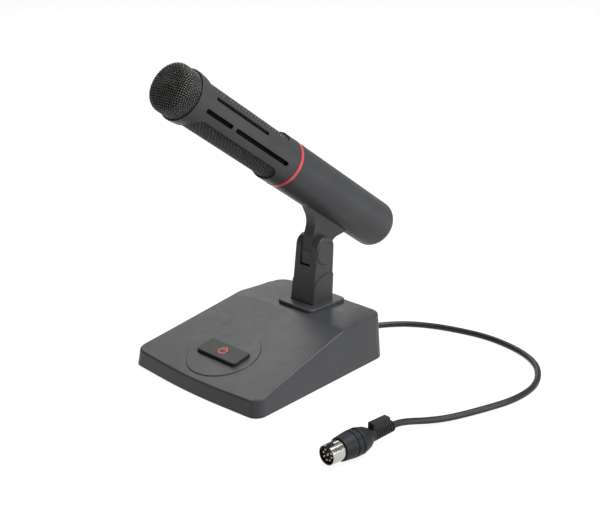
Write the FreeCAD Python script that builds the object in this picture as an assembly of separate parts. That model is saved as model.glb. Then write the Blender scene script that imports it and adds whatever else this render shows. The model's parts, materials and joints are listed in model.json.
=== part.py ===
import FreeCAD, Part
import math
import os

# Desk conference microphone: a wedge base, a clevis post, a tubular microphone that tilts on it,
# and a cord that ends in a round eight-pin plug. Millimetres; the origin is on the underside,
# midway between the sides, -Y is the front where the talker sits, +Z is up.

V = FreeCAD.Vector
X_AXIS = V(1, 0, 0)
Y_AXIS = V(0, 1, 0)
Z_AXIS = V(0, 0, 1)

# base
BASE_WIDTH = 130.0
BASE_REAR_WIDTH = 107.5
FRONT_Y = -71.3
REAR_Y = 67.4
FRONT_BOW = 4.7
FRONT_BOW_RADIUS = 440.0
CORNER_RADIUS = 8.0
REAR_CORNER_RADIUS = 11.0
FRONT_HEIGHT = 12.0
REAR_HEIGHT = 33.4
SLOPE_END_Y = 22.6
DRAFT = 0.119
REAR_DRAFT = 0.03
REAR_SIDE_DRAFT = 0.065
WALL = 2.4
CREASE_RADIUS = 25.0
EDGE_ROUND = 1.6
PAD_THICKNESS = 0.8
PLATE_THICKNESS = 1.5
COVER_LIFT = 0.5
PLATE_GAP = 0.2

# screws: radius of shank, radius of head, head height
SCREW_R = 1.45
SCREW_HEAD_R = 2.8
SCREW_HEAD = 2.0
SMALL_SCREW_R = 1.0
SMALL_HEAD_R = 1.9
SMALL_HEAD = 1.4
HOLE_CLEARANCE = 0.05
BOSS_R = 3.6
BOTTOM_SCREWS = [(-50.0, -55.0), (50.0, -55.0), (-41.0, 56.0), (41.0, 56.0)]
BOTTOM_SCREW_LENGTH = 7.0
BOSS_SCREW_ROOM = 0.3
RECESS_LONG = 1.9
RECESS_WIDE = 0.3
RECESS_DEEP = 0.9

# button and its switch, in the slope's frame: x across, y up the slope, z out of it
BUTTON_ALONG = 28.5
BUTTON_LONG = 39.0
BUTTON_SHORT = 16.0
BUTTON_CORNER = 2.2
BUTTON_GAP = 0.5
BUTTON_TOP = 2.9
BUTTON_FLANGE = 1.5
FLANGE_GAP = 0.1
FLANGE_DEEP = 1.1
BUTTON_EDGE_ROUND = 0.7
TOUCH_PAD_R = 26.7
TOUCH_PAD_RISE = 0.6
BOARD_TOP = -9.2
BOARD_THICKNESS = 1.6
BOARD_HALF_X = 28.0
BOARD_Y = (-13.0, 17.0)
BOARD_SCREWS = [(-24.0, -9.0), (24.0, -9.0), (-24.0, 13.0), (24.0, 13.0)]
SWITCH_TOP = -5.0
PLUNGER_R = 1.75
PLUNGER_IN = 2.0
PLUNGER_OUT = 0.6
STEM_R = 1.6
PART_R = 2.5
PART_HEIGHT = 3.6
PART_PLACES = [(12, -6), (16, 8), (-10, 11)]
BOARD_BLOCKS = [(5, -6, 4, 2.2, -14), (4, 8, 15, 3.4, 0)]
SYMBOL_R = 3.6
SYMBOL_LINE = 1.0
SYMBOL_DEPTH = 0.4

# post and pivot
FAR = 40.0
CAP_CLEARANCE = 0.15
HEAD_ROOM = 0.2
PLATE_HALF = 17.7
PLATE_FRONT_Y = 25.6
PLATE_REAR_Y = 64.0
PLATE_TOP = 36.0
PLATE_CORNER = 4.8
PLATE_ROUND = 1.1
POST_HALF = 10.9
POST_FOOT_HALF = 11.7
POST_SIDE = [(34.1, 33.4), (40.1, 84.9), (57.5, 84.9), (55.4, 33.4)]
EAR_RADIUS = 8.4
POST_EDGE_ROUND = 1.2
LEDGE_CENTRE = (50.0, 40.0)
LEDGE_RADIUS = 17.0
SLOT_HALF = 5.2
SLOT_BOTTOM = 63.4
TOE_DROP = 8.4
TOE_CLEARANCE = 12.5
PIVOT_Y = 47.8
PIVOT_Z = 72.5
PIVOT_R = 3.0
CAP_R = 8.15
CAP_RECESS = 1.2
CAP_PROUD = 0.5
BOLT_HEAD_R = 5.2
BOLT_HEAD = 2.4
NUT_R = 5.7
SOCKET_R = 1.7
WASHER_R = 7.6
WASHER = 0.5
DIMPLE_R = 0.45
COUNTERBORE_R = 6.1
WIRE_HOLE_R = 3.2
WIRE_HOLE_Y = 45.0
POST_SCREWS = [(-7.0, 39.0), (7.0, 39.0), (-7.0, 50.5), (7.0, 50.5)]
POST_SCREW_LENGTH = 9.0

# microphone, in its own frame: z along the tube towards the head, y towards its upper side
TILT = 34.6
RING_Y = 15.25
RING_Z = 145.0
TUBE_R = 17.7
TAIL_R = 17.8
TUBE_WALL = 2.0
TAIL = -122.5
TAIL_ROUND = 7.5
RING_HALF = 1.2
RING_R = 17.85
FIT_GAP = 0.05
COUPLING_BORE_R = 13.0
COUPLING_REACH = 12.0
SLEEVE_R = 17.7
SLEEVE_HEAD_R = 17.6
SLEEVE_INNER_R = 16.4
RIM_S = 106.2
RIM_R = 18.3
FLARE_START = 98.0
FLARE_END = 104.0
MESH_R = 16.3
MESH_WALL = 0.7
CAP_SKIRT_R = 17.3
CAP_TOP = 122.5
CAP_CROWN = 3.0
CAPSULE_R = 7.0
CAPSULE_S = (88.0, 98.0)
HOLDER_R = 11.1
HOLDER_S = (89.5, 96.5)
CAP_ROUND = 5.0
CAP_WALL = 0.8
WINDOW_S = (12.0, 98.5)
TOP_WINDOW_HALF = 14.1
LOWER_WINDOW_HALF = 14.6
WINDOW_ROUND = 7.5
UPPER_SLOT = (23.0, 38.0, 92.0, 2.7)
LOWER_SLOTS = [(-11.5, 11.0, 67.0, 3.1), (-11.5, 70.5, 96.5, 3.1)]
NECK_HALF = 4.6
TONGUE_R = 8.75
TONGUE_BORE_R = 3.08
TOE_ROUND = 0.6
NECK_SIDE = [(41.2, 85.0), (44.6, 96.5), (36.5, 113.0), (48.0, 116.0), (78.0, 95.0), (84.0, 83.2), (64.0, 79.8)]
NECK_ROUNDS = [0, 20, 14, 0, 0, 0, 0, 9, 0]
NECK_SCREWS_S = (-54.0, -72.0)

# cord, hank and plug
CORD_D = 4.5
GLAND_X = 18.5
GLAND_Z = 13.0
GLAND_TIP_Y = 81.0
HANK_CENTRE = (-42.75, 88.2)
HANK_RUN = 68.0
HANK_INNER_R = 13.5
HANK_TOP_SHIFT = -3.0
TIE_SHIFT = -6.0
TIE_HALF = 3.0
TIE_THICK = 0.8
HOOD_R = 4.4
FLANGE_R = 5.6
INNER_FLANGE_R = 6.0
PLUG_BASE = (140.0, -47.6)
PLUG_TURN = -2.0
PLUG_AXIS_Z = 8.9
PLUG_BODY_R = 8.8
PLUG_FRONT_R = 7.7
PLUG_BODY = 25.5
PLUG_GROOVES = (11.0, 15.5)
SHELL_R = 6.6
SHELL_SEAT_R = 6.3
SHELL_WALL = 0.5
SHELL_STEP = 0.3
SHELL_LENGTH = 9.8
SHELL_NOTCH = 1.5
INSERT_RECESS = 3.2
PIN_R = 0.65
PIN_CIRCLE_R = 3.5
KEY_ANGLE = 80.0
RELIEF_LENGTH = 21.0
RELIEF_R = 4.7
RELIEF_TIP_R = 3.9
RIB_PITCH = 2.1
RIB_START = 1.5
RIBS = 8
RIB_GAP = 0.75
TAB_HALF = 2.7
TAB_TOP = 8.3
TAB = (-17.5, -2.0)

FRONT_EDGE_Y = FRONT_Y + DRAFT * FRONT_HEIGHT
SLOPE = math.degrees(math.atan2(REAR_HEIGHT - FRONT_HEIGHT, SLOPE_END_Y - FRONT_EDGE_Y))
PLATE_Z = PAD_THICKNESS
PLATE_TOP_Z = PAD_THICKNESS + PLATE_THICKNESS


# ---- helpers

def outline(points, radii, at):
    """A closed wire through points, each corner rounded by its radius; at(u, v) places a point."""
    count = len(points)
    ends = []
    for i in range(count):
        corner = V(*points[i], 0)
        back = (V(*points[i - 1], 0) - corner).normalize()
        ahead = (V(*points[(i + 1) % count], 0) - corner).normalize()
        half = back.getAngle(ahead) / 2
        reach = radii[i] / math.tan(half)
        middle = corner
        if radii[i]:
            bisector = (back + ahead).normalize()
            middle = corner + bisector * (radii[i] / math.sin(half) - radii[i])
        ends.append((corner + back * reach, middle, corner + ahead * reach))
    edges = []
    for i in range(count):
        start, middle, end = ends[i]
        if radii[i]:
            edges.append(Part.Arc(at(start.x, start.y), at(middle.x, middle.y), at(end.x, end.y)).toShape())
        following = ends[(i + 1) % count][0]
        if (following - end).Length > 1e-6:
            edges.append(Part.LineSegment(at(end.x, end.y), at(following.x, following.y)).toShape())
    return Part.Wire(edges)


def flat(z):
    return lambda u, v: V(u, v, z)


def side(x):
    return lambda u, v: V(x, u, v)


def slab(points, radii, low, high):
    """An outline in the XY plane, extruded from low to high."""
    return Part.Face(outline(points, radii, flat(low))).extrude(V(0, 0, high - low))


def side_prism(points, radii, half):
    """An outline in the YZ plane, extruded across X from -half to half."""
    return Part.Face(outline(points, radii, side(-half))).extrude(V(2 * half, 0, 0))


def rectangle(half_x, y0, y1):
    return [(-half_x, y0), (half_x, y0), (half_x, y1), (-half_x, y1)]


def block(half_x, y0, y1, z0, z1, centre_x=0.0):
    return Part.makeBox(2 * half_x, y1 - y0, z1 - z0, V(centre_x - half_x, y0, z0))


def turned(points, radii):
    """A profile of (radius, height) points turned about Z."""
    face = Part.Face(outline(points, radii, lambda u, v: V(u, 0, v)))
    return face.revolve(V(0, 0, 0), Z_AXIS, 360)


def tube(outer, inner, z0, z1):
    return turned([(inner, z0), (outer, z0), (outer, z1), (inner, z1)], [0, 0, 0, 0])


def rod(radius, start, direction, length):
    return Part.makeCylinder(radius, length, start, direction)


def screw(x, y, z, up, length, shank_r, head_r, head):
    """A screw whose head's seat is at z; up is the way its shank points along Z."""
    shank = rod(shank_r, V(x, y, z), V(0, 0, up), length)
    return shank.fuse(rod(head_r, V(x, y, z), V(0, 0, -up), head)).removeSplitter()


def moved(shape, position, rotation):
    copy = shape.copy()
    copy.Placement = FreeCAD.Placement(position, rotation).multiply(copy.Placement)
    return copy


def on_slope(shape):
    """From the button's frame to the part's."""
    angle = math.radians(SLOPE)
    y = FRONT_EDGE_Y + BUTTON_ALONG * math.cos(angle)
    z = FRONT_HEIGHT + BUTTON_ALONG * math.sin(angle)
    return moved(shape, V(0, y, z), FreeCAD.Rotation(X_AXIS, SLOPE))


def on_tube(shape):
    """From the microphone's frame to the part's."""
    return moved(shape, V(0, RING_Y, RING_Z), FreeCAD.Rotation(X_AXIS, 90 - TILT))


def on_plug(shape):
    """From the plug's frame, z towards its pins and y up, to the part's."""
    turn = FreeCAD.Rotation(Z_AXIS, PLUG_TURN).multiply(FreeCAD.Rotation(X_AXIS, 90))
    return moved(shape, V(PLUG_BASE[0], PLUG_BASE[1], PLUG_AXIS_Z), turn)


def export(name, *solids):
    shape = solids[0] if len(solids) == 1 else Part.makeCompound(list(solids))
    for solid in shape.Solids:
        if not solid.isValid():
            print("INVALID", name)
    shape.exportStep("parts/" + name + ".step")


# ---- base

def base_outline(inset, z):
    """The base's plan at height z, drawn in by inset."""
    gap = inset + DRAFT * z
    front = BASE_WIDTH / 2 - gap
    rear = BASE_REAR_WIDTH / 2 - inset - REAR_SIDE_DRAFT * z
    y0 = FRONT_Y + gap
    y1 = REAR_Y - inset - REAR_DRAFT * z
    points = [(0, y0 - FRONT_BOW), (front, y0), (rear, y1), (-rear, y1), (-front, y0)]
    corner = CORNER_RADIUS - inset
    rear_corner = REAR_CORNER_RADIUS - inset
    return outline(points, [FRONT_BOW_RADIUS, corner, rear_corner, rear_corner, corner], flat(z))


def wedge(inset, drop):
    """The base's whole volume, its walls drawn in by inset and its top lowered by drop."""
    top = REAR_HEIGHT + 6
    walls = Part.makeLoft([base_outline(inset, 0), base_outline(inset, top)], True, True)
    rise = math.tan(math.radians(SLOPE))
    lift = -drop / math.cos(math.radians(SLOPE))
    front_y = FRONT_Y - 2 * FRONT_BOW
    front_z = FRONT_HEIGHT + (front_y - FRONT_EDGE_Y) * rise + lift
    far = 2 * REAR_Y
    profile = [(front_y, 0), (front_y, front_z), (SLOPE_END_Y, REAR_HEIGHT - drop),
               (far, REAR_HEIGHT - drop), (far, 0)]
    return walls.common(side_prism(profile, [0, 0, CREASE_RADIUS, 0, 0], BASE_WIDTH))


def top_edges(shape):
    """The edges around the top of the wedge, where its roof meets the walls."""
    found = []
    for edge in shape.Edges:
        box = edge.BoundBox
        if box.ZMin < FRONT_HEIGHT - 3:
            continue
        level = abs(box.YMin - box.YMax) < 1
        crease = abs(box.YMin - SLOPE_END_Y) < REAR_HEIGHT
        if not (box.XLength > BASE_REAR_WIDTH / 2 and level and crease):
            found.append(edge)
    return found


def build_base():
    outer = wedge(0, 0)
    outer = outer.makeFillet(EDGE_ROUND, top_edges(outer))
    cover = outer.cut(wedge(WALL, WALL))
    cover = cover.cut(block(BASE_WIDTH, -BASE_WIDTH, BASE_WIDTH, -1, COVER_LIFT))
    inside = wedge(WALL, WALL)
    for x, y in BOTTOM_SCREWS:
        boss = rod(BOSS_R, V(x, y, PLATE_TOP_Z), Z_AXIS, REAR_HEIGHT).common(inside)
        cover = cover.fuse(boss)
        depth = PLATE_Z + BOTTOM_SCREW_LENGTH + BOSS_SCREW_ROOM
        cover = cover.cut(rod(SCREW_R + HOLE_CLEARANCE, V(x, y, 0), Z_AXIS, depth))
    touch_pad = turned([(0, -1), (TOUCH_PAD_R, -1), (TOUCH_PAD_R, TOUCH_PAD_RISE), (0, TOUCH_PAD_RISE)],
                       [0, 0, 0.5, 0])
    cover = cover.fuse(on_slope(touch_pad))
    for x, y in BOARD_SCREWS:
        cover = cover.fuse(on_slope(rod(2.6, V(x, y, BOARD_TOP), Z_AXIS, -BOARD_TOP - 1)))
        cover = cover.cut(on_slope(rod(SMALL_SCREW_R + HOLE_CLEARANCE, V(x, y, BOARD_TOP), Z_AXIS, 5)))
    gap = BUTTON_GAP
    opening = slab(rectangle(BUTTON_LONG / 2 + gap, -BUTTON_SHORT / 2 - gap, BUTTON_SHORT / 2 + gap),
                   [BUTTON_CORNER + gap] * 4, -5, 5)
    cover = cover.cut(on_slope(opening))
    roof = REAR_HEIGHT - WALL
    for x, y in POST_SCREWS:
        cover = cover.cut(rod(SCREW_R + HOLE_CLEARANCE, V(x, y, roof - 1), Z_AXIS, WALL + 2))
    cover = cover.cut(rod(WIRE_HOLE_R, V(0, WIRE_HOLE_Y, roof - 1), Z_AXIS, WALL + 2))
    cover = cover.cut(rod(4.5, V(GLAND_X, REAR_Y - 12, GLAND_Z), Y_AXIS, 20))
    export("base_cover", cover.removeSplitter())

    plan = Part.Face(base_outline(WALL + PLATE_GAP, PLATE_TOP_Z))
    plate = plan.extrude(V(0, 0, -PLATE_THICKNESS))
    pad = Part.Face(base_outline(WALL + 2 * PLATE_GAP, PLATE_TOP_Z)).extrude(V(0, 0, -PAD_THICKNESS))
    pad.translate(V(0, 0, PAD_THICKNESS - PLATE_TOP_Z))
    screws = []
    for x, y in BOTTOM_SCREWS:
        head = Part.makeCone(SCREW_HEAD_R, SCREW_R, PLATE_THICKNESS, V(x, y, PLATE_Z), Z_AXIS)
        shank = rod(SCREW_R, V(x, y, PLATE_Z), Z_AXIS, BOTTOM_SCREW_LENGTH)
        plate = plate.cut(head.fuse(shank))
        pad = pad.cut(rod(SCREW_HEAD_R + 0.6, V(x, y, -1), Z_AXIS, 5))
        recess = block(RECESS_LONG, y - RECESS_WIDE, y + RECESS_WIDE, 0, PLATE_Z + RECESS_DEEP, x)
        recess = recess.fuse(block(RECESS_WIDE, y - RECESS_LONG, y + RECESS_LONG, 0, PLATE_Z + RECESS_DEEP, x))
        screws.append(head.fuse(shank).removeSplitter().cut(recess))
    export("bottom_plate", plate)
    export("non_slip_pad", pad)
    export("bottom_screws", *screws)
    ballast = slab(rectangle(36, 4, 50), [4] * 4, PLATE_TOP_Z, 22)
    export("ballast_weight", ballast.makeChamfer(0.8, [e for e in ballast.Edges if e.BoundBox.ZMin > 21]))


def build_button():
    half = BUTTON_SHORT / 2
    face = slab(rectangle(BUTTON_LONG / 2, -half, half), [BUTTON_CORNER] * 4, -WALL - FLANGE_GAP, BUTTON_TOP)
    face = face.makeFillet(BUTTON_EDGE_ROUND, [e for e in face.Edges if e.BoundBox.ZMin > BUTTON_TOP - 0.01])
    flange = slab(rectangle(BUTTON_LONG / 2 + BUTTON_FLANGE, -half - BUTTON_FLANGE, half + BUTTON_FLANGE),
                  [BUTTON_CORNER] * 4, -WALL - FLANGE_DEEP, -WALL - FLANGE_GAP)
    stem_foot = SWITCH_TOP + PLUNGER_OUT
    stem = rod(STEM_R, V(0, 0, stem_foot), Z_AXIS, -WALL - FLANGE_DEEP - stem_foot)
    button = face.fuse(flange).fuse(stem)
    export("power_button", on_slope(button.cut(power_symbol()).removeSplitter()))
    export("button_symbol", on_slope(power_symbol()))
    plunger = rod(PLUNGER_R, V(0, 0, SWITCH_TOP - PLUNGER_IN), Z_AXIS, PLUNGER_IN + PLUNGER_OUT)
    export("switch_plunger", on_slope(plunger))
    switch = block(4, -4, 4, BOARD_TOP, SWITCH_TOP)
    well = rod(PLUNGER_R + 0.1, V(0, 0, BOARD_TOP + 0.5), Z_AXIS, 10)
    export("power_switch", on_slope(switch.cut(well)))
    board = slab(rectangle(BOARD_HALF_X, *BOARD_Y), [1.5] * 4, BOARD_TOP - BOARD_THICKNESS, BOARD_TOP)
    screws = []
    for x, y in BOARD_SCREWS:
        board = board.cut(rod(SMALL_SCREW_R + 0.2, V(x, y, BOARD_TOP - 3), Z_AXIS, 5))
        fixing = screw(x, y, BOARD_TOP - BOARD_THICKNESS, 1, 6, SMALL_SCREW_R, SMALL_HEAD_R, SMALL_HEAD)
        screws.append(on_slope(fixing))
    export("circuit_board", on_slope(board))
    export("board_screws", *screws)
    parts = [block(half, y0, y1, BOARD_TOP, BOARD_TOP + height, x) for half, y0, y1, height, x in BOARD_BLOCKS]
    for x, y in PART_PLACES:
        parts.append(rod(PART_R, V(x, y, BOARD_TOP), Z_AXIS, PART_HEIGHT))
    export("board_components", *[on_slope(p) for p in parts])


def power_symbol():
    """A broken ring and a bar, let into the button's face."""
    low = BUTTON_TOP - SYMBOL_DEPTH
    ring = tube(SYMBOL_R, SYMBOL_R - SYMBOL_LINE, low, BUTTON_TOP)
    gap = slab([(0, 0), (2.6, 5), (-2.6, 5)], [0, 0, 0], low - 1, BUTTON_TOP + 1)
    bar = slab(rectangle(SYMBOL_LINE / 2, 0.6, SYMBOL_R + 0.9), [0] * 4, low, BUTTON_TOP)
    return Part.makeCompound(ring.cut(gap).Solids + [bar])


# ---- post

def build_post():
    radii = [0, EAR_RADIUS, EAR_RADIUS, 0]

    def rounded(half):
        prism = side_prism(POST_SIDE, radii, half)
        rim = [e for e in prism.Edges if e.BoundBox.XLength < 0.01 and e.BoundBox.ZMax > REAR_HEIGHT + 0.1]
        return prism.makeFillet(POST_EDGE_ROUND, rim)

    ledge = rod(LEDGE_RADIUS, V(-FAR / 2, *LEDGE_CENTRE), X_AXIS, FAR)
    front, rear = POST_SIDE[0][0], POST_SIDE[3][0]
    ledge = ledge.fuse(block(FAR / 2, front - 3, rear + 3, REAR_HEIGHT, LEDGE_CENTRE[1] + 3))
    post = rounded(POST_HALF).fuse(rounded(POST_FOOT_HALF).common(ledge))
    post = post.cut(block(SLOT_HALF, PIVOT_Y - FAR, PIVOT_Y + FAR, SLOT_BOTTOM, SLOT_BOTTOM + FAR))
    post = post.cut(rod(TOE_CLEARANCE, V(-SLOT_HALF, PIVOT_Y, PIVOT_Z), X_AXIS, 2 * SLOT_HALF))
    post = post.cut(rod(PIVOT_R + HOLE_CLEARANCE, V(-FAR / 2, PIVOT_Y, PIVOT_Z), X_AXIS, FAR))
    for way in (-1, 1):
        face = V(way * FAR / 2, PIVOT_Y, PIVOT_Z)
        recess = FAR / 2 - POST_HALF + CAP_RECESS
        post = post.cut(rod(CAP_R + CAP_CLEARANCE, face, V(-way, 0, 0), recess))
        post = post.cut(rod(COUNTERBORE_R, face, V(-way, 0, 0), recess + BOLT_HEAD + HEAD_ROOM))
    post = post.cut(rod(WIRE_HOLE_R, V(0, WIRE_HOLE_Y, REAR_HEIGHT - WALL), Z_AXIS, FAR))
    screws = []
    roof = REAR_HEIGHT - WALL
    for x, y in POST_SCREWS:
        post = post.cut(rod(SCREW_R + HOLE_CLEARANCE, V(x, y, roof), Z_AXIS, POST_SCREW_LENGTH + 0.5))
        screws.append(screw(x, y, roof, 1, POST_SCREW_LENGTH, SCREW_R, SCREW_HEAD_R, SCREW_HEAD))
    export("post", post.removeSplitter())
    export("post_screws", *screws)

    plan = rectangle(PLATE_HALF, PLATE_FRONT_Y, PLATE_REAR_Y)
    plate = slab(plan, [PLATE_CORNER] * 4, REAR_HEIGHT, PLATE_TOP)
    plate = plate.makeFillet(PLATE_ROUND, [e for e in plate.Edges if e.BoundBox.ZMin > PLATE_TOP - 0.01])
    plate = plate.cut(block(POST_FOOT_HALF + HOLE_CLEARANCE, front - 0.1, rear + 0.2, 0, FAR))
    export("post_plate", plate)


def build_pivot():
    seat = POST_HALF - CAP_RECESS - BOLT_HEAD - HEAD_ROOM
    shank = rod(PIVOT_R, V(-seat - BOLT_HEAD, PIVOT_Y, PIVOT_Z), X_AXIS, 2 * seat + BOLT_HEAD)
    head = rod(BOLT_HEAD_R, V(seat, PIVOT_Y, PIVOT_Z), X_AXIS, BOLT_HEAD)
    socket = rod(SOCKET_R, V(seat + 0.8, PIVOT_Y, PIVOT_Z), X_AXIS, BOLT_HEAD)
    export("pivot_bolt", shank.fuse(head).cut(socket).removeSplitter())
    corners = []
    for i in range(6):
        turn = math.radians(60 * i)
        corners.append((PIVOT_Y + NUT_R * math.cos(turn), PIVOT_Z + NUT_R * math.sin(turn)))
    nut = Part.Face(outline(corners, [0] * 6, side(-seat - BOLT_HEAD))).extrude(V(BOLT_HEAD, 0, 0))
    export("pivot_nut", nut.cut(rod(PIVOT_R, V(-FAR / 2, PIVOT_Y, PIVOT_Z), X_AXIS, FAR)))
    for name, way in (("pivot_cap_right", 1), ("pivot_cap_left", -1)):
        low = POST_HALF - CAP_RECESS
        high = POST_HALF + CAP_PROUD
        disc = turned([(0, low), (CAP_R, low), (CAP_R, high), (0, high)], [0, 0, 0.5, 0])
        disc = disc.cut(rod(DIMPLE_R, V(0, 0, high - 0.5), Z_AXIS, 1))
        export(name, moved(disc, V(0, PIVOT_Y, PIVOT_Z), FreeCAD.Rotation(Y_AXIS, 90 * way)))
    washers = []
    for way in (-1, 1):
        start = V(way * (SLOT_HALF - 0.03), PIVOT_Y, PIVOT_Z)
        disc = rod(WASHER_R, start, V(-way, 0, 0), WASHER)
        washers.append(disc.cut(rod(PIVOT_R + 0.1, V(-FAR / 2, PIVOT_Y, PIVOT_Z), X_AXIS, FAR)))
    export("friction_washers", *washers)


# ---- microphone

def build_neck():
    tongue = rod(TONGUE_R, V(-NECK_HALF, PIVOT_Y, PIVOT_Z), X_AXIS, 2 * NECK_HALF)
    front = PIVOT_Y - TONGUE_R
    profile = [(front, PIVOT_Z)] + NECK_SIDE + [(PIVOT_Y + TONGUE_R, PIVOT_Z)]
    foot = PIVOT_Z - TOE_DROP
    toe = [(front, PIVOT_Z), (front, foot), (PIVOT_Y, foot), (PIVOT_Y, PIVOT_Z)]
    neck = tongue.fuse(side_prism(profile, NECK_ROUNDS, NECK_HALF))
    neck = neck.fuse(side_prism(toe, [0, TOE_ROUND, 0, 0], NECK_HALF))
    barrel = on_tube(Part.makeCone(TAIL_R, TUBE_R, -TAIL - RING_HALF, V(0, 0, TAIL), Z_AXIS))
    neck = neck.cut(barrel)
    neck = neck.cut(rod(TONGUE_BORE_R, V(-FAR / 2, PIVOT_Y, PIVOT_Z), X_AXIS, FAR))
    screws = []
    for s in NECK_SCREWS_S:
        neck = neck.cut(on_tube(rod(SCREW_R + HOLE_CLEARANCE, V(0, -10, s), V(0, -1, 0), 15.5)))
        seat = V(0, -TUBE_R + TUBE_WALL + 0.3, s)
        head = rod(SCREW_HEAD_R, seat + V(0, -0.6, 0), Y_AXIS, SCREW_HEAD)
        shank = rod(SCREW_R, seat, V(0, -1, 0), 10)
        screws.append(on_tube(shank.fuse(head).removeSplitter()))
    export("neck", neck.removeSplitter())
    export("neck_screws", *screws)


def build_housing():
    inner = TUBE_R - TUBE_WALL
    housing = turned([(0, TAIL), (TAIL_R, TAIL), (TUBE_R, -RING_HALF), (inner, -RING_HALF),
                      (TAIL_R - TUBE_WALL, TAIL + TUBE_WALL), (0, TAIL + TUBE_WALL)],
                     [0, TAIL_ROUND, 0, 0, TAIL_ROUND - TUBE_WALL, 0])
    for s in NECK_SCREWS_S:
        housing = housing.cut(rod(SCREW_R + HOLE_CLEARANCE, V(0, 0, s), V(0, -1, 0), 20))
        housing = housing.cut(rod(SCREW_HEAD_R + 0.05, V(0, 0, s), V(0, -1, 0), inner + 0.3))
    export("rear_housing", on_tube(housing))
    export("accent_ring", on_tube(tube(RING_R, inner, -RING_HALF, RING_HALF)))
    step = inner - FIT_GAP
    spigot = MESH_R - MESH_WALL - 2 * FIT_GAP
    coupling = turned([(COUPLING_BORE_R, -COUPLING_REACH), (step, -COUPLING_REACH), (step, RING_HALF),
                       (spigot, RING_HALF), (spigot, COUPLING_REACH - 1), (COUPLING_BORE_R, COUPLING_REACH - 1)],
                      [0] * 6)
    export("coupling_ring", on_tube(coupling))
    board = block(11, 1.0, 2.6, -80, -16)
    chips = [block(4, 2.6, 4.8, -70, -60), block(3, 2.6, 4.2, -50, -44, 3)]
    for s in (-36, -26):
        chips.append(rod(2.5, V(-3, 2.6, s), Y_AXIS, 5.5))
    export("preamp_board", on_tube(board), *[on_tube(c) for c in chips])


def window(half, way):
    """A rounded opening in the sleeve, seen along its y axis; way is 1 above and -1 below."""
    plan = rectangle(half, *WINDOW_S)
    wire = outline(plan, [WINDOW_ROUND] * 4, lambda u, v: V(u, 0, v))
    return Part.Face(wire).extrude(V(0, way * 30, 0))


def sound_slot(angle, s0, s1, width, way):
    """A narrow round-ended slot on the sleeve's right side, or on the left where way is -1."""
    plan = [(-width / 2, s0), (width / 2, s0), (width / 2, s1), (-width / 2, s1)]
    wire = outline(plan, [width * 0.42] * 4, lambda u, v: V(0, u, v))
    cut = Part.Face(wire).extrude(V(30, 0, 0))
    cut.rotate(V(0, 0, 0), Z_AXIS, angle if way > 0 else 180 - angle)
    return cut


def build_sleeve():
    recess = CAP_SKIRT_R + 0.1
    sleeve = turned([(SLEEVE_INNER_R, RING_HALF), (SLEEVE_R, RING_HALF), (SLEEVE_HEAD_R, FLARE_START),
                     (RIM_R, FLARE_END), (RIM_R, RIM_S), (recess, RIM_S), (recess, FLARE_END - 1),
                     (SLEEVE_INNER_R, FLARE_END - 1)], [0, 0, 8, 5, 0.3, 0, 0, 0])
    sleeve = sleeve.cut(window(TOP_WINDOW_HALF, 1)).cut(window(LOWER_WINDOW_HALF, -1))
    for way in (1, -1):
        for slot in [UPPER_SLOT] + LOWER_SLOTS:
            sleeve = sleeve.cut(sound_slot(*slot, way))
    export("front_sleeve", on_tube(sleeve))
    export("mesh_tube", on_tube(tube(MESH_R, MESH_R - MESH_WALL, RING_HALF + 0.2, FLARE_END - 1.5)))
    export("foam_liner", on_tube(tube(MESH_R - MESH_WALL - 0.1, 11.2, 12, FLARE_END - 1.5)))
    shoulder = CAP_TOP - CAP_CROWN
    inner = CAP_SKIRT_R - CAP_WALL
    cap_foot = FLARE_END - 0.9
    cap = turned([(inner, cap_foot), (CAP_SKIRT_R, cap_foot), (CAP_SKIRT_R, shoulder), (0, CAP_TOP),
                  (0, CAP_TOP - CAP_WALL), (inner, shoulder - CAP_WALL)],
                 [0, 0, CAP_ROUND, 0, 0, CAP_ROUND - CAP_WALL])
    export("head_grille", on_tube(cap))
    foam_r = inner - 0.3
    foam = turned([(0, FLARE_END), (foam_r, FLARE_END), (foam_r, shoulder - 1.2), (0, CAP_TOP - 1.3)],
                  [0, 0, CAP_ROUND - CAP_WALL, 0])
    export("head_foam", on_tube(foam))
    low, high = CAPSULE_S
    capsule = turned([(0, low), (CAPSULE_R, low), (CAPSULE_R, high), (0, high)], [0, 0.6, 0.6, 0])
    export("mic_capsule", on_tube(capsule))
    export("capsule_holder", on_tube(tube(HOLDER_R, CAPSULE_R, *HOLDER_S)))


# ---- cord and plug

def cord_tube(name, route):
    """A round tube along straight runs joined by tangent arcs, each as large as its two runs allow."""
    points = [V(*p) for p in route]
    edges = []
    here = points[0]
    radii = []
    for i in range(1, len(points) - 1):
        back = points[i - 1] - points[i]
        ahead = points[i + 1] - points[i]
        turn = math.pi - back.getAngle(ahead)
        reach = 0.45 * min(back.Length, ahead.Length)
        radius = reach / math.tan(turn / 2)
        radii.append(radius)
        back.normalize()
        ahead.normalize()
        start = points[i] + back * reach
        end = points[i] + ahead * reach
        bisector = (back + ahead).normalize()
        middle = points[i] + bisector * (radius / math.cos(turn / 2) - radius)
        edges.append(Part.LineSegment(here, start).toShape())
        edges.append(Part.Arc(start, middle, end).toShape())
        here = end
    edges.append(Part.LineSegment(here, points[-1]).toShape())
    spine = Part.Wire(edges)
    direction = (points[1] - points[0]).normalize()
    section = Part.Wire(Part.Circle(points[0], direction, CORD_D / 2).toShape())
    solid = spine.makePipeShell([section], True, False)
    expected = spine.Length * math.pi * CORD_D ** 2 / 4
    print(name, "length", round(spine.Length, 1), "volume ratio", round(solid.Volume / expected, 4),
          "radii", [round(r, 1) for r in radii])
    export(name, solid)


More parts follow.
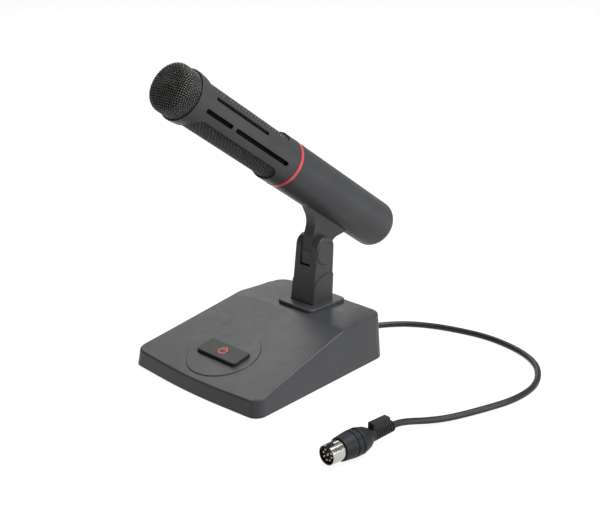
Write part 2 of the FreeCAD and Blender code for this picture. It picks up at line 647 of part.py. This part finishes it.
# the lead from the gland to the top of the hank, and the line from the hank's lowest turn to the plug
LEAD_ROUTE = [(GLAND_X, 76.0, GLAND_Z), (GLAND_X, 85.2, 12.9), (14.0, 93.3, 12.5), (6.1, 98.1, 11.9),
              (-3.1, 98.7, 11.35)]
LINE_ROUTE = [(8.2, 82.0, 2.25), (12.5, 94.0, 2.25), (19.5, 107.5, 2.25), (32.0, 122.3, 2.25),
              (56.0, 135.3, 2.25), (95.0, 144.5, 2.25), (139.0, 133.8, 2.25), (162.7, 104.0, 2.25),
              (167.0, 72.2, 2.25), (159.5, 41.0, 2.25), (151.8, 17.0, 2.3), (146.4, 1.0, 4.3),
              (142.4, -12.5, 7.3), (140.9, -22.2, 8.85), (140.57, -31.6, 8.9)]


def stadium(radius, shift, low, high):
    """The outer shape of turns wound round two folds: a flat ring's outline, filled."""
    x, y = HANK_CENTRE
    half = HANK_RUN / 2
    plan = [(x - half - radius, y + shift - radius), (x + half + radius, y + shift - radius),
            (x + half + radius, y + shift + radius), (x - half - radius, y + shift + radius)]
    return slab(plan, [radius - 0.01] * 4, low, high)


def build_cord():
    cord_tube("cord_lead", LEAD_ROUTE)
    cord_tube("cord_line", LINE_ROUTE)
    r = CORD_D / 2
    turns = stadium(HANK_INNER_R + 3 * r, 0, 0, 2 * CORD_D)
    turns = turns.fuse(stadium(HANK_INNER_R + r, HANK_TOP_SHIFT, CORD_D, 3 * CORD_D))
    hole = stadium(HANK_INNER_R - r, 0, -1, 2 * CORD_D)
    hole = hole.common(stadium(HANK_INNER_R - r, HANK_TOP_SHIFT, -1, 3 * CORD_D))
    x, y = HANK_CENTRE
    reach = HANK_INNER_R + 3 * r
    outer = reach + TIE_THICK
    band = block(TIE_HALF, y - outer, y + outer, 0, 3 * CORD_D + TIE_THICK, x + TIE_SHIFT)
    export("cord_hank", turns.cut(hole).cut(band).removeSplitter())
    export("hank_tie", band.cut(block(2 * TIE_HALF, y - reach, y + reach, TIE_THICK, 2 * CORD_D, x + TIE_SHIFT)))
    wall = REAR_Y
    inner = wall - WALL - 1.0
    gland = turned([(r, inner - 2), (INNER_FLANGE_R, inner - 2), (INNER_FLANGE_R, inner), (HOOD_R, inner),
                    (HOOD_R, wall), (FLANGE_R, wall), (FLANGE_R, wall + 1.4), (HOOD_R, wall + 1.4),
                    (3.2, GLAND_TIP_Y), (r, GLAND_TIP_Y)],
                   [0, 0.4, 0.4, 0, 0, 0.4, 0.4, 0, 0.5, 0])
    export("cord_gland", moved(gland, V(GLAND_X, 0, GLAND_Z), FreeCAD.Rotation(X_AXIS, -90)))


def build_plug():
    seat = PLUG_BODY - 5
    wall = PLUG_BODY + SHELL_STEP
    mouth = wall + SHELL_LENGTH
    insert_r = SHELL_R - SHELL_WALL
    lip = insert_r - SHELL_STEP
    shell = turned([(lip, seat), (SHELL_SEAT_R, seat), (SHELL_SEAT_R, wall), (SHELL_R, wall),
                    (SHELL_R, mouth), (insert_r, mouth), (insert_r, wall + 1), (lip, wall + 1)], [0] * 8)
    notch = block(SHELL_NOTCH, 4, 9, mouth - 5, mouth + 1)
    shell = shell.cut(moved(notch, V(0, 0, 0), FreeCAD.Rotation(Z_AXIS, KEY_ANGLE - 90)))
    export("plug_shell", on_plug(shell))
    face = mouth - INSERT_RECESS
    insert = turned([(0, seat), (lip, seat), (lip, wall + 1), (insert_r, wall + 1), (insert_r, face), (0, face)],
                    [0] * 6)
    pins = []
    places = [(0.0, 0.0)]
    for i in range(7):
        angle = math.radians(KEY_ANGLE + 45 * (i + 1))
        places.append((PIN_CIRCLE_R * math.cos(angle), PIN_CIRCLE_R * math.sin(angle)))
    for x, y in places:
        insert = insert.cut(rod(PIN_R, V(x, y, seat - 1), Z_AXIS, 20))
        tip = mouth - 0.6
        pin = turned([(0, seat), (PIN_R, seat), (PIN_R, tip), (0, tip)], [0, 0, 0.4, 0])
        pins.append(on_plug(moved(pin, V(x, y, 0), FreeCAD.Rotation())))
    export("plug_insulator", on_plug(insert))
    export("plug_pins", *pins)
    bore = CORD_D / 2
    body = turned([(bore, 0), (5.6, 0), (7.4, 3.4), (PLUG_BODY_R, 9), (PLUG_BODY_R, PLUG_GROOVES[1]),
                   (PLUG_FRONT_R, PLUG_BODY), (SHELL_SEAT_R, PLUG_BODY), (SHELL_SEAT_R, seat),
                   (bore, seat)],
                  [0, 0.8, 2.0, 3.0, 6.0, 0.8, 0, 0, 0])
    for z in PLUG_GROOVES:
        body = body.cut(tube(PLUG_BODY_R + 1, PLUG_BODY_R - 0.5, z, z + 0.8))
    export("plug_body", on_plug(body))
    tail = -RELIEF_LENGTH
    relief = turned([(bore, tail), (RELIEF_TIP_R, tail), (RELIEF_R, 0), (bore, 0)], [0, 0.5, 0, 0])
    for i in range(RIBS):
        z = tail + RIB_START + RIB_PITCH * i
        relief = relief.cut(tube(RELIEF_R + 1, RELIEF_TIP_R - 0.7, z, z + RIB_GAP))
    tab = block(TAB_HALF, 2.6, TAB_TOP, *TAB)
    tab = tab.makeFillet(0.9, [e for e in tab.Edges if e.BoundBox.YMax > 3])
    relief = relief.fuse(tab).cut(rod(bore, V(0, 0, tail - 1), Z_AXIS, 2 - tail))
    export("plug_strain_relief", on_plug(relief.removeSplitter()))


os.makedirs("parts", exist_ok=True)
build_base()
build_button()
build_post()
build_pivot()
build_neck()
build_housing()
build_sleeve()
build_cord()
build_plug()
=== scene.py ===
import json
import math

import bmesh
import bpy
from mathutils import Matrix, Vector


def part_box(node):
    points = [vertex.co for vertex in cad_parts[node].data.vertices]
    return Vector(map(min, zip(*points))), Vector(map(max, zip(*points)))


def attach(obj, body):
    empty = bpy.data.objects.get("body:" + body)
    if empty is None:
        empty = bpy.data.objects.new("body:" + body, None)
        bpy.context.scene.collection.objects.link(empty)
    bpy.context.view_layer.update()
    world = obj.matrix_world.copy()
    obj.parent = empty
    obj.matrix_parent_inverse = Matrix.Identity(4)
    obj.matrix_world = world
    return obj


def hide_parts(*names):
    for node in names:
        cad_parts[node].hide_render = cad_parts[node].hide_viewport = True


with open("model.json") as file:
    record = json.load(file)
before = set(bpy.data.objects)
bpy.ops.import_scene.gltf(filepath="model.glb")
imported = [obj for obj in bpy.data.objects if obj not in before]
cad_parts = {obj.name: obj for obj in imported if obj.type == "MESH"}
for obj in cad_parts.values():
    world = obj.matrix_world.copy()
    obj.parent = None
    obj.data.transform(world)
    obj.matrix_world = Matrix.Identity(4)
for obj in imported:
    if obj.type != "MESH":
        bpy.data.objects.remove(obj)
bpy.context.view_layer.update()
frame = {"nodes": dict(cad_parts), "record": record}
NODES = frame["nodes"]
MM = 0.001


# ---- places, from the frame

def middle(node):
    low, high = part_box(node)
    return (low + high) / 2


RING = middle("accent_ring")
AXIS = (middle("mic_capsule") - RING).normalized()
UP = Vector((1, 0, 0)).cross(AXIS).normalized()
if UP.z < 0:
    UP = -UP


def on_tube(angle, radius, s):
    """A point of the microphone's tube: angle 0 is to the right, a quarter turn is the upper side."""
    side = Vector((math.cos(angle) * radius, 0, 0))
    return RING + AXIS * s + side + UP * (math.sin(angle) * radius)


# ---- camera, stage and light

LENS = 72.75
SENSOR = 36.0
CAMERA_PLACE = (0.5834, -0.5492, 0.3628)
CAMERA_FALL = 19.87
CAMERA_TURN = 45.07
FLOOR_HALF = 6.0
FLOOR_GREY = 0.14
FLOOR_GLOW = 0.9
WORLD_STRENGTH = 0.22
# name, place and target in metres, size in metres, power in watts
LIGHTS = (("key", (0.45, 0.3, 1.5), (0, 0, 0.08), 1.0, 36),
          ("right", (1.5, 0.5, 0.5), (0, 0, 0.06), 0.6, 13),
          ("back", (-1.1, 0.8, 1.0), (0, 0, 0.05), 1.0, 9))


def build_camera():
    data = bpy.data.cameras.new("camera")
    data.lens = LENS
    data.sensor_width = SENSOR
    camera = bpy.data.objects.new("camera", data)
    bpy.context.scene.collection.objects.link(camera)
    camera.location = CAMERA_PLACE
    camera.rotation_euler = (math.radians(90 - CAMERA_FALL), 0, math.radians(CAMERA_TURN))
    bpy.context.scene.camera = camera


def area_light(name, place, target, size, power):
    data = bpy.data.lights.new(name, "AREA")
    data.size = size
    data.energy = power
    light = bpy.data.objects.new(name, data)
    bpy.context.scene.collection.objects.link(light)
    light.location = place
    light.rotation_euler = (Vector(target) - Vector(place)).to_track_quat("-Z", "Y").to_euler()


def build_stage():
    mesh = bpy.data.meshes.new("floor")
    half = FLOOR_HALF
    corners = [(-half, -half, 0), (half, -half, 0), (half, half, 0), (-half, half, 0)]
    mesh.from_pydata(corners, [], [(0, 1, 2, 3)])
    floor = bpy.data.objects.new("floor", mesh)
    bpy.context.scene.collection.objects.link(floor)
    material = bpy.data.materials.new("floor_paper")
    material.use_nodes = True
    shader = material.node_tree.nodes["Principled BSDF"]
    shader.inputs["Base Color"].default_value = (FLOOR_GREY, FLOOR_GREY, FLOOR_GREY, 1)
    shader.inputs["Roughness"].default_value = 0.9
    shader.inputs["Specular IOR Level"].default_value = 0.1
    shader.inputs["Emission Color"].default_value = (1, 1, 1, 1)
    shader.inputs["Emission Strength"].default_value = FLOOR_GLOW
    mesh.materials.append(material)
    world = bpy.data.worlds.new("studio")
    world.use_nodes = True
    world.node_tree.nodes["Background"].inputs["Color"].default_value = (1, 1, 1, 1)
    world.node_tree.nodes["Background"].inputs["Strength"].default_value = WORLD_STRENGTH
    bpy.context.scene.world = world
    bpy.context.scene.view_settings.view_transform = "Standard"
    for light in LIGHTS:
        area_light(*light)


# ---- materials

GRAIN_HEIGHT = 0.1 * MM


def new_material(name):
    material = bpy.data.materials.new(name)
    material.use_nodes = True
    nodes = material.node_tree.nodes
    shader = nodes["Principled BSDF"]
    place = nodes.new("ShaderNodeTexCoord").outputs["Object"]
    return material, shader, place


def noise(material, place, scale, detail=3.0, roughness=0.55, stretch=None):
    nodes, links = material.node_tree.nodes, material.node_tree.links
    if stretch:
        mapping = nodes.new("ShaderNodeMapping")
        mapping.inputs["Scale"].default_value = stretch
        links.new(place, mapping.inputs["Vector"])
        place = mapping.outputs["Vector"]
    texture = nodes.new("ShaderNodeTexNoise")
    texture.inputs["Scale"].default_value = scale
    texture.inputs["Detail"].default_value = detail
    texture.inputs["Roughness"].default_value = roughness
    links.new(place, texture.inputs["Vector"])
    return texture.outputs["Fac"]


def ramp(material, factor, low, high, start=0.3, end=0.7):
    """A colour, or a grey for a number, between low and high as factor goes from start to end."""
    nodes, links = material.node_tree.nodes, material.node_tree.links
    node = nodes.new("ShaderNodeValToRGB")
    for stop, value, position in zip(node.color_ramp.elements, (low, high), (start, end)):
        stop.color = (*value, 1) if isinstance(value, tuple) else (value, value, value, 1)
        stop.position = position
    links.new(factor, node.inputs["Fac"])
    return node.outputs["Color"]


def bump(material, shader, height, strength, distance):
    nodes, links = material.node_tree.nodes, material.node_tree.links
    node = nodes.new("ShaderNodeBump")
    node.inputs["Strength"].default_value = strength
    node.inputs["Distance"].default_value = distance
    links.new(height, node.inputs["Height"])
    links.new(node.outputs["Normal"], shader.inputs["Normal"])


def surface(name, dark, light, rough, grain, depth, metallic=0.0, patch=45.0, specular=0.5, coat=0.0,
            stretch=None):
    """A moulded, cast or plated surface: patchy colour and roughness over a fine grain."""
    material, shader, place = new_material(name)
    links = material.node_tree.links
    patches = noise(material, place, patch, 4)
    links.new(ramp(material, patches, dark, light), shader.inputs["Base Color"])
    links.new(ramp(material, noise(material, place, patch * 4, 5), *rough), shader.inputs["Roughness"])
    shader.inputs["Metallic"].default_value = metallic
    shader.inputs["Specular IOR Level"].default_value = specular
    shader.inputs["Coat Weight"].default_value = coat
    bump(material, shader, noise(material, place, grain, 2, stretch=stretch), depth, GRAIN_HEIGHT)
    return material


MATERIALS = {
    "charcoal_plastic": surface("charcoal_plastic", (0.029, 0.03, 0.032), (0.036, 0.037, 0.039), (0.38, 0.46),
                                2600, 0.16, specular=0.3),
    "button_plastic": surface("button_plastic", (0.016, 0.0165, 0.0175), (0.021, 0.0215, 0.0225), (0.4, 0.48),
                              2600, 0.12, specular=0.22),
    "component_black": surface("component_black", (0.009, 0.009, 0.01), (0.016, 0.016, 0.017), (0.4, 0.5),
                               1800, 0.15, specular=0.25),
    "black_mesh": surface("black_mesh", (0.035, 0.034, 0.033), (0.08, 0.078, 0.075), (0.26, 0.4),
                          3000, 0.1, metallic=0.4, patch=500),
    "black_foam": surface("black_foam", (0.002, 0.002, 0.002), (0.006, 0.006, 0.006), (0.9, 1.0),
                          1500, 0.9, specular=0.1),
    "red_anodised": surface("red_anodised", (0.5, 0.045, 0.045), (0.57, 0.06, 0.055), (0.25, 0.33),
                            2500, 0.06, metallic=0.1, specular=0.6),
    "red_print": surface("red_print", (0.5, 0.04, 0.03), (0.57, 0.055, 0.04), (0.45, 0.55), 2500, 0.05),
    "pad_rubber": surface("pad_rubber", (0.018, 0.018, 0.018), (0.03, 0.03, 0.03), (0.75, 0.9),
                          1400, 0.5, specular=0.3),
    "cord_rubber": surface("cord_rubber", (0.009, 0.01, 0.011), (0.014, 0.015, 0.016), (0.36, 0.46),
                           1500, 0.12, specular=0.3),
    "plug_rubber": surface("plug_rubber", (0.008, 0.009, 0.01), (0.013, 0.014, 0.015), (0.42, 0.52),
                           2200, 0.15, specular=0.16),
    "nickel": surface("nickel", (0.4, 0.385, 0.345), (0.52, 0.5, 0.45), (0.14, 0.24),
                      900, 0.05, metallic=1.0, patch=150, stretch=(1, 1, 6)),
    "pin_brass": surface("pin_brass", (0.4, 0.37, 0.3), (0.52, 0.48, 0.4), (0.3, 0.4),
                         2000, 0.05, metallic=1.0),
    "zinc_steel": surface("zinc_steel", (0.42, 0.43, 0.45), (0.6, 0.61, 0.62), (0.25, 0.45),
                          1500, 0.15, metallic=1.0, patch=200),
    "cast_weight": surface("cast_weight", (0.05, 0.05, 0.05), (0.1, 0.095, 0.09), (0.6, 0.85),
                           900, 0.8, metallic=0.6),
    "board_laminate": surface("board_laminate", (0.012, 0.09, 0.035), (0.02, 0.13, 0.05), (0.3, 0.45),
                              900, 0.1, coat=0.3),
}


# ---- pieces

def dress(piece, slot):
    piece.data.materials.clear()
    piece.data.materials.append(MATERIALS[slot])


def new_piece(name, mesh, body, slot, *replaced):
    piece = bpy.data.objects.new(name, mesh)
    bpy.context.scene.collection.objects.link(piece)
    dress(piece, slot)
    if replaced:
        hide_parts(*replaced)
    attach(piece, body)
    return piece


def dress_cad_nodes():
    slots = {part["node"]: part["material_slot"] for part in frame["record"]["subparts"]}
    for name, node in NODES.items():
        node.data.materials.clear()
        node.data.materials.append(MATERIALS[slots[name]])


# ---- woven wire

WIRE_R = 0.3 * MM
WIRE_SIDES = 5
# how far a wire swings out and in where it crosses others, as a share of its radius
SCREEN_SWING = 0.9
HEAD_SWING = 0.85


def add_wire(mesh, points, radius):
    """A round wire along points, added to a bmesh."""
    count = len(points)
    rings = []
    for i, point in enumerate(points):
        before = points[i - 1] if i else point
        after = points[i + 1] if i + 1 < count else point
        along = (after - before).normalized()
        across = along.orthogonal().normalized()
        if rings:
            across = (last_across - along * last_across.dot(along)).normalized()
        last_across = across
        beside = along.cross(across)
        turns = [2 * math.pi * k / WIRE_SIDES for k in range(WIRE_SIDES)]
        spokes = [across * math.cos(t) + beside * math.sin(t) for t in turns]
        rings.append([mesh.verts.new(point + spoke * radius) for spoke in spokes])
    for one, two in zip(rings, rings[1:]):
        for k in range(WIRE_SIDES):
            after = (k + 1) % WIRE_SIDES
            mesh.faces.new((one[k], one[after], two[after], two[k]))
    mesh.faces.new(list(reversed(rings[0])))
    mesh.faces.new(rings[-1])


def finish_mesh(name, mesh):
    bmesh.ops.recalc_face_normals(mesh, faces=mesh.faces)
    data = bpy.data.meshes.new(name)
    mesh.to_mesh(data)
    mesh.free()
    for face in data.polygons:
        face.use_smooth = True
    return data


SCREEN_R = 15.7 * MM
SCREEN_START = 9 * MM
SCREEN_END = 102 * MM
SCREEN_PITCH = 1.59 * MM
SCREEN_ARCS = ((90, 61), (-90, 64))


def build_screen():
    """The woven wire behind the two large windows; an arc is its middle and half its width, in degrees."""
    rows = int((SCREEN_END - SCREEN_START) / SCREEN_PITCH)
    lift = WIRE_R * SCREEN_SWING
    mesh = bmesh.new()
    for middle_angle, reach in SCREEN_ARCS:
        wires = round(math.radians(2 * reach) * SCREEN_R / SCREEN_PITCH)
        start = math.radians(middle_angle - reach)
        step = math.radians(2 * reach) / wires
        for row in range(rows + 1):
            points = []
            for k in range(2 * wires + 1):
                phase = math.cos(math.pi * (k / 2 + row))
                s = SCREEN_START + row * SCREEN_PITCH
                points.append(on_tube(start + step * k / 2, SCREEN_R + lift * phase, s))
            add_wire(mesh, points, WIRE_R)
        for wire in range(wires + 1):
            points = []
            for k in range(2 * rows + 1):
                phase = -math.cos(math.pi * (k / 2 + wire))
                s = SCREEN_START + k * SCREEN_PITCH / 2
                points.append(on_tube(start + step * wire, SCREEN_R + lift * phase, s))
            add_wire(mesh, points, WIRE_R)
    new_piece("screen_weave", finish_mesh("screen_weave", mesh), "microphone", "black_mesh", "mesh_tube")


HEAD_WIRE_R = 0.33 * MM
HEAD_PITCH = 1.6 * MM
CAP_CROWN = 3.0 * MM
CAP_ROUND = 5.0 * MM
CAP_ROUND_STEPS = 12


def cap_profile(skirt, top, inset):
    """Radius and height along the cap, from its crown down a shallow cone and a round, set in by inset."""
    lean = math.atan2(CAP_CROWN, skirt)
    centre = skirt - CAP_ROUND
    height = top - math.tan(lean) * centre - CAP_ROUND / math.cos(lean)
    bend = CAP_ROUND - inset
    profile = [(0.0, top - inset / math.cos(lean))]
    for i in range(CAP_ROUND_STEPS + 1):
        turn = lean + (math.pi / 2 - lean) * i / CAP_ROUND_STEPS
        profile.append((centre + bend * math.sin(turn), height + bend * math.cos(turn)))
    return profile


def build_head():
    """The woven wire cap: a flat weave pressed over a shallow dome and down its skirt."""
    grille = NODES["head_grille"]
    heights = [(v.co - RING).dot(AXIS) for v in grille.data.vertices]
    base_s, top_s = min(heights), max(heights)
    skirt_r = max(((v.co - RING) - AXIS * (v.co - RING).dot(AXIS)).length for v in grille.data.vertices)
    wire_r = HEAD_WIRE_R
    profile = cap_profile(skirt_r, top_s, 2 * wire_r)
    profile.append((profile[-1][0], base_s + wire_r))
    lengths = [0.0]
    for one, two in zip(profile, profile[1:]):
        lengths.append(lengths[-1] + math.dist(one, two))

    def along(rho):
        for i in range(1, len(lengths)):
            if rho <= lengths[i]:
                part = (rho - lengths[i - 1]) / (lengths[i] - lengths[i - 1])
                one, two = profile[i - 1], profile[i]
                return (one[0] + (two[0] - one[0]) * part, one[1] + (two[1] - one[1]) * part,
                        math.atan2(one[1] - two[1], two[0] - one[0]))
        return (*profile[-1], math.pi / 2)

    reach = lengths[-1]
    pitch = HEAD_PITCH
    lines = int(reach / pitch)
    mesh = bmesh.new()
    for way in (0, 1):
        for line in range(-lines, lines + 1):
            offset = line * pitch
            half = math.sqrt(max(reach ** 2 - offset ** 2, 0))
            steps = int(half / (pitch / 2))
            if steps < 2:
                continue
            points = []
            for step in range(-steps, steps + 1):
                u, v = (step * pitch / 2, offset) if way == 0 else (offset, step * pitch / 2)
                rho, theta = math.hypot(u, v), math.atan2(v, u)
                r, s, slope = along(rho)
                phase = math.cos(math.pi * (step / 2 + line + way)) * wire_r * HEAD_SWING
                points.append(on_tube(theta, r + phase * math.sin(slope), s + phase * math.cos(slope)))
            add_wire(mesh, points, wire_r)
    new_piece("head_weave", finish_mesh("head_weave", mesh), "microphone", "black_mesh", "head_grille")


# ---- cord

CORD_D = 4.5 * MM
LEAD_ROUTE = [(18.5, 76.0, 13.0), (18.5, 85.2, 12.9), (14.0, 93.3, 12.5), (6.1, 98.1, 11.9),
              (-3.1, 98.7, 11.35)]
LINE_ROUTE = [(8.2, 82.0, 2.25), (12.5, 94.0, 2.25), (19.5, 107.5, 2.25), (32.0, 122.3, 2.25),
              (56.0, 135.3, 2.25), (95.0, 144.5, 2.25), (139.0, 133.8, 2.25), (162.7, 104.0, 2.25),
              (167.0, 72.2, 2.25), (159.5, 41.0, 2.25), (151.8, 17.0, 2.3), (146.4, 1.0, 4.3),
              (142.4, -12.5, 7.3), (140.9, -22.2, 8.85), (140.57, -31.6, 8.9)]
HANK_CENTRE = (-42.75, 88.2)
HANK_HALF_RUN = 34.0
HANK_INNER_R = 13.5
HANK_OUTER_R = 18.0
HANK_TOP_SHIFT = -3.0
HANK_TURNS = (0.03, 4.79)
LAYER_Z = (11.25, 6.75, 2.25)
POINTS_PER_TURN = 20
# a turn has four quarters: a run, the left fold, a run and the right fold
# where the cord first goes down a layer, in turns
FIRST_DROP = (0.96, 1.02)
# where each turn changes its track, as shares of the right fold
TOP_OUTWARD = (0.75, 0.95)
MIDDLE_INWARD = (0.6, 0.9)
SECOND_DROP = (0.4, 0.75)
BOTTOM_OUTWARD = (0.25, 0.6)


def blend_between(position, start, end, low, high):
    part = min(max((position - start) / (end - start), 0.0), 1.0)
    return low + (high - low) * part * part * (3 - 2 * part)


def hank_track(p):
    """Radius, height and sideways shift of the cord, p turns into the hank."""
    turn = math.floor(p)
    fold = (p - turn - 0.75) / 0.25
    inner, outer = HANK_INNER_R, HANK_OUTER_R
    top, middle_z, bottom = LAYER_Z
    first_drop = blend_between(p, *FIRST_DROP, top, middle_z)
    if turn == 0:
        radius = blend_between(fold, *TOP_OUTWARD, inner, outer)
        return radius, first_drop, HANK_TOP_SHIFT * (outer - radius) / (outer - inner)
    if turn == 1:
        return blend_between(fold, *MIDDLE_INWARD, outer, inner), first_drop, 0.0
    if turn == 2:
        return inner, blend_between(fold, *SECOND_DROP, middle_z, bottom), 0.0
    if turn == 3:
        return blend_between(fold, *BOTTOM_OUTWARD, inner, outer), bottom, 0.0
    return outer, bottom, 0.0


def hank_points():
    """The folded hank, wound counter-clockwise from above, from its top layer to its lowest."""
    points = []
    start, end = HANK_TURNS
    count = round((end - start) * POINTS_PER_TURN)
    bulge = 1 / math.cos(math.pi / (POINTS_PER_TURN / 2))
    for i in range(count + 1):
        p = start + (end - start) * i / count
        radius, z, shift = hank_track(p)
        q = p % 1
        if q < 0.25:
            x, y = HANK_HALF_RUN * (1 - q * 8), radius
        elif q < 0.5:
            turn = math.pi * (0.5 + (q - 0.25) * 4)
            x, y = -HANK_HALF_RUN + radius * bulge * math.cos(turn), radius * bulge * math.sin(turn)
        elif q < 0.75:
            x, y = HANK_HALF_RUN * ((q - 0.5) * 8 - 1), -radius
        else:
            turn = math.pi * (-0.5 + (q - 0.75) * 4)
            x, y = HANK_HALF_RUN + radius * bulge * math.cos(turn), radius * bulge * math.sin(turn)
        points.append((HANK_CENTRE[0] + x, HANK_CENTRE[1] + shift + y, z))
    return points


def build_cord():
    curve = bpy.data.curves.new("cord", "CURVE")
    curve.dimensions = "3D"
    curve.bevel_depth = CORD_D / 2
    curve.bevel_resolution = 4
    curve.use_fill_caps = True
    spline = curve.splines.new("NURBS")
    route = LEAD_ROUTE + hank_points() + LINE_ROUTE
    spline.points.add(len(route) - 1)
    for point, place in zip(spline.points, route):
        point.co = (*(value * MM for value in place), 1)
    spline.order_u = 3
    spline.use_endpoint_u = True
    spline.resolution_u = 8
    cord = bpy.data.objects.new("cord", curve)
    bpy.context.scene.collection.objects.link(cord)
    dress(cord, "cord_rubber")
    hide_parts("cord_lead", "cord_hank", "cord_line")
    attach(cord, "base")
    return cord


build_camera()
build_stage()
dress_cad_nodes()
cord = build_cord()
build_screen()
build_head()
